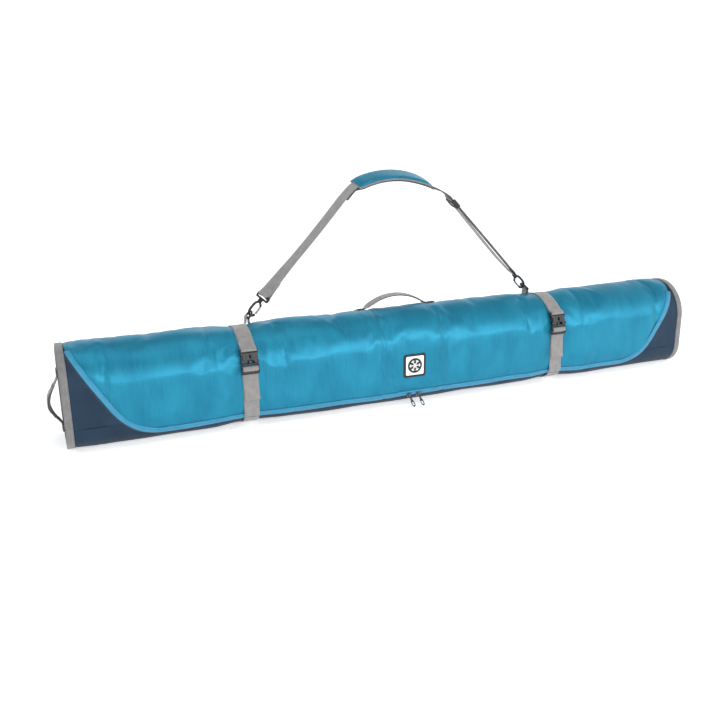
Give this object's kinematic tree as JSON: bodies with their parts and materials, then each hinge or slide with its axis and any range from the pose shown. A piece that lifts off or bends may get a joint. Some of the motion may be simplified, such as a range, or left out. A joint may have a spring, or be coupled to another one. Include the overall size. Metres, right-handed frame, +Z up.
{
  "type": "ski bag",
  "caption": "Long padded ski bag with a zipped front lid, buckled compression straps, grab handles and a clip-on padded shoulder strap.",
  "frame": {"origin": "centre of the flat bottom, on the surface that the bag stands on", "axes": "+X along the bag, +Z up, -Y towards the front with the zip, label and buckles"},
  "size_m": [1.752, 0.2182, 0.581],
  "materials": {
    "blue_fabric": "fine ribbed polyester, slight sheen",
    "edge_tape": "folded woven tape",
    "navy_fabric": "coarse woven polyester",
    "zip_tape": "coil zip on knitted tape",
    "foam": "closed cell foam sheet",
    "lining": "plain woven lining",
    "grey_webbing": "ribbed polypropylene webbing",
    "black_plastic": "moulded acetal",
    "dark_webbing": "woven tape",
    "steel": "bright spring steel",
    "zip_metal": "dark nickel plate",
    "label_white": "soft moulded patch"
  },
  "bodies": {
    "bag_base": {"bottom_panel": "navy_fabric", "back_panel": "navy_fabric", "yoke_panel": "blue_fabric", "front_corner_left": "navy_fabric", "front_corner_right": "navy_fabric", "base_foam": "foam", "base_lining": "lining", "end_panel_left": "navy_fabric", "end_panel_right": "navy_fabric", "binding_left": "grey_webbing", "binding_right": "grey_webbing", "base_zip_tape": "zip_tape", "back_strap_left": "grey_webbing", "back_strap_right": "grey_webbing", "top_handle_feet": "dark_webbing", "end_handle_feet": "dark_webbing", "d_ring_tabs": "dark_webbing"},
    "lid": {"lid_panel_left": "blue_fabric", "lid_panel_centre": "blue_fabric", "lid_panel_right": "blue_fabric", "lid_foam": "foam", "lid_lining": "lining", "edge_tape": "edge_tape", "lid_zip_tape": "zip_tape", "upper_strap_left": "grey_webbing", "upper_strap_right": "grey_webbing", "buckle_socket_left": "black_plastic", "buckle_socket_right": "black_plastic", "label_border": "dark_webbing", "label_face": "label_white"},
    "strap_end_left": {"lower_strap_left": "grey_webbing", "strap_tail_left": "grey_webbing", "buckle_plug_left": "black_plastic"},
    "arm_left_a": {"buckle_arm_left_a": "black_plastic"},
    "arm_left_b": {"buckle_arm_left_b": "black_plastic"},
    "strap_end_right": {"lower_strap_right": "grey_webbing", "strap_tail_right": "grey_webbing", "buckle_plug_right": "black_plastic"},
    "arm_right_a": {"buckle_arm_right_a": "black_plastic"},
    "arm_right_b": {"buckle_arm_right_b": "black_plastic"},
    "slider_left": {"zip_slider_left": "zip_metal"},
    "puller_left": {"zip_puller_left": "zip_metal"},
    "slider_right": {"zip_slider_right": "zip_metal"},
    "puller_right": {"zip_puller_right": "zip_metal"},
    "top_grip": {"top_handle": "grey_webbing"},
    "end_grip": {"end_handle": "grey_webbing"},
    "shoulder_strap": {"d_ring_left": "black_plastic", "d_ring_right": "black_plastic", "loop_frame_left": "black_plastic", "loop_frame_right": "black_plastic", "leg_web_left": "grey_webbing", "leg_web_right": "grey_webbing", "leg_web_return": "grey_webbing", "shoulder_pad": "blue_fabric", "pad_end_tabs": "dark_webbing"},
    "hook_left": {"snap_hook_left": "black_plastic"},
    "gate_left": {"hook_gate_left": "steel"},
    "hook_right": {"snap_hook_right": "black_plastic"},
    "gate_right": {"hook_gate_right": "steel"},
    "adjuster": {"web_adjuster": "black_plastic"}
  },
  "joints": [
    {"name": "lid_open", "type": "hinge", "parent": "bag_base", "child": "lid", "pos_m": [0, 0.006, 0.2358], "axis": [-1, 0, 0], "range_deg": [0, 58], "deforming": ["lower_strap_left", "strap_tail_left", "lower_strap_right", "strap_tail_right", "buckle_arm_left_a", "buckle_arm_left_b", "buckle_arm_right_a", "buckle_arm_right_b"]},
    {"name": "strap_drop_left", "type": "hinge", "parent": "bag_base", "child": "strap_end_left", "pos_m": [-0.432, -0.086, 0.027], "axis": [1, 0, 0], "range_deg": [0, 90]},
    {"name": "squeeze_left_a", "type": "hinge", "parent": "strap_end_left", "child": "arm_left_a", "pos_m": [-0.4459, -0.09609, 0.1664], "axis": [0, 0.9716, -0.2366], "range_deg": [0, 6], "stiffness_Nm_per_rad": 0.05},
    {"name": "squeeze_left_b", "type": "hinge", "parent": "strap_end_left", "child": "arm_left_b", "pos_m": [-0.4181, -0.09609, 0.1664], "axis": [0, -0.9716, 0.2366], "range_deg": [0, 6], "stiffness_Nm_per_rad": 0.05},
    {"name": "strap_drop_right", "type": "hinge", "parent": "bag_base", "child": "strap_end_right", "pos_m": [0.432, -0.086, 0.027], "axis": [1, 0, 0], "range_deg": [0, 90]},
    {"name": "squeeze_right_a", "type": "hinge", "parent": "strap_end_right", "child": "arm_right_a", "pos_m": [0.4181, -0.09609, 0.1664], "axis": [0, 0.9716, -0.2366], "range_deg": [0, 6], "stiffness_Nm_per_rad": 0.05},
    {"name": "squeeze_right_b", "type": "hinge", "parent": "strap_end_right", "child": "arm_right_b", "pos_m": [0.4459, -0.09609, 0.1664], "axis": [0, -0.9716, 0.2366], "range_deg": [0, 6], "stiffness_Nm_per_rad": 0.05},
    {"name": "zip_run_left", "type": "slide", "parent": "bag_base", "child": "slider_left", "axis": [-1, 0, 0], "range_m": [0, 0.385]},
    {"name": "puller_swing_left", "type": "hinge", "parent": "slider_left", "child": "puller_left", "pos_m": [-0.013, -0.0927, 0.024], "axis": [-1, 0, 0], "range_deg": [0, 90]},
    {"name": "zip_run_right", "type": "slide", "parent": "bag_base", "child": "slider_right", "axis": [1, 0, 0], "range_m": [0, 0.385]},
    {"name": "puller_swing_right", "type": "hinge", "parent": "slider_right", "child": "puller_right", "pos_m": [0.013, -0.0927, 0.024], "axis": [-1, 0, 0], "range_deg": [0, 90]},
    {"name": "top_handle_fold", "type": "hinge", "parent": "bag_base", "child": "top_grip", "pos_m": [0, 0.036, 0.2405], "axis": [-1, 0, 0], "range_deg": [0, 55]},
    {"name": "end_handle_swing", "type": "hinge", "parent": "bag_base", "child": "end_grip", "pos_m": [-0.868, 0, 0.105], "axis": [0, 0, 1], "range_deg": [-55, 55]},
    {"name": "shoulder_strap_fold", "type": "hinge", "parent": "bag_base", "child": "shoulder_strap", "pos_m": [0, 0.036, 0.245], "axis": [-1, 0, 0], "range_deg": [0, 75], "deforming": ["d_ring_tabs"]},
    {"name": "hook_swivel_left", "type": "hinge", "parent": "shoulder_strap", "child": "hook_left", "pos_m": [-0.403, 0.032, 0.245], "axis": [0.68, 0, 0.7332], "range_deg": [-10, 10]},
    {"name": "gate_press_left", "type": "hinge", "parent": "hook_left", "child": "gate_left", "pos_m": [-0.36744, 0.032, 0.26658], "axis": [0, 1, 0], "range_deg": [0, 14], "stiffness_Nm_per_rad": 0.05},
    {"name": "hook_swivel_right", "type": "hinge", "parent": "shoulder_strap", "child": "hook_right", "pos_m": [0.403, 0.032, 0.245], "axis": [-0.6824, 0, 0.731], "range_deg": [-10, 10]},
    {"name": "gate_press_right", "type": "hinge", "parent": "hook_right", "child": "gate_right", "pos_m": [0.36737, 0.032, 0.26646], "axis": [0, -1, 0], "range_deg": [0, 14], "stiffness_Nm_per_rad": 0.05},
    {"name": "adjuster_slide", "type": "slide", "parent": "shoulder_strap", "child": "adjuster", "axis": [0.6824, 0, -0.731], "range_m": [0, 0.22]}
  ],
  "couplings": [
    {"joint": "strap_drop_left", "follows": "lid_open", "ratio": 1.55},
    {"joint": "strap_drop_right", "follows": "lid_open", "ratio": 1.55}
  ]
}
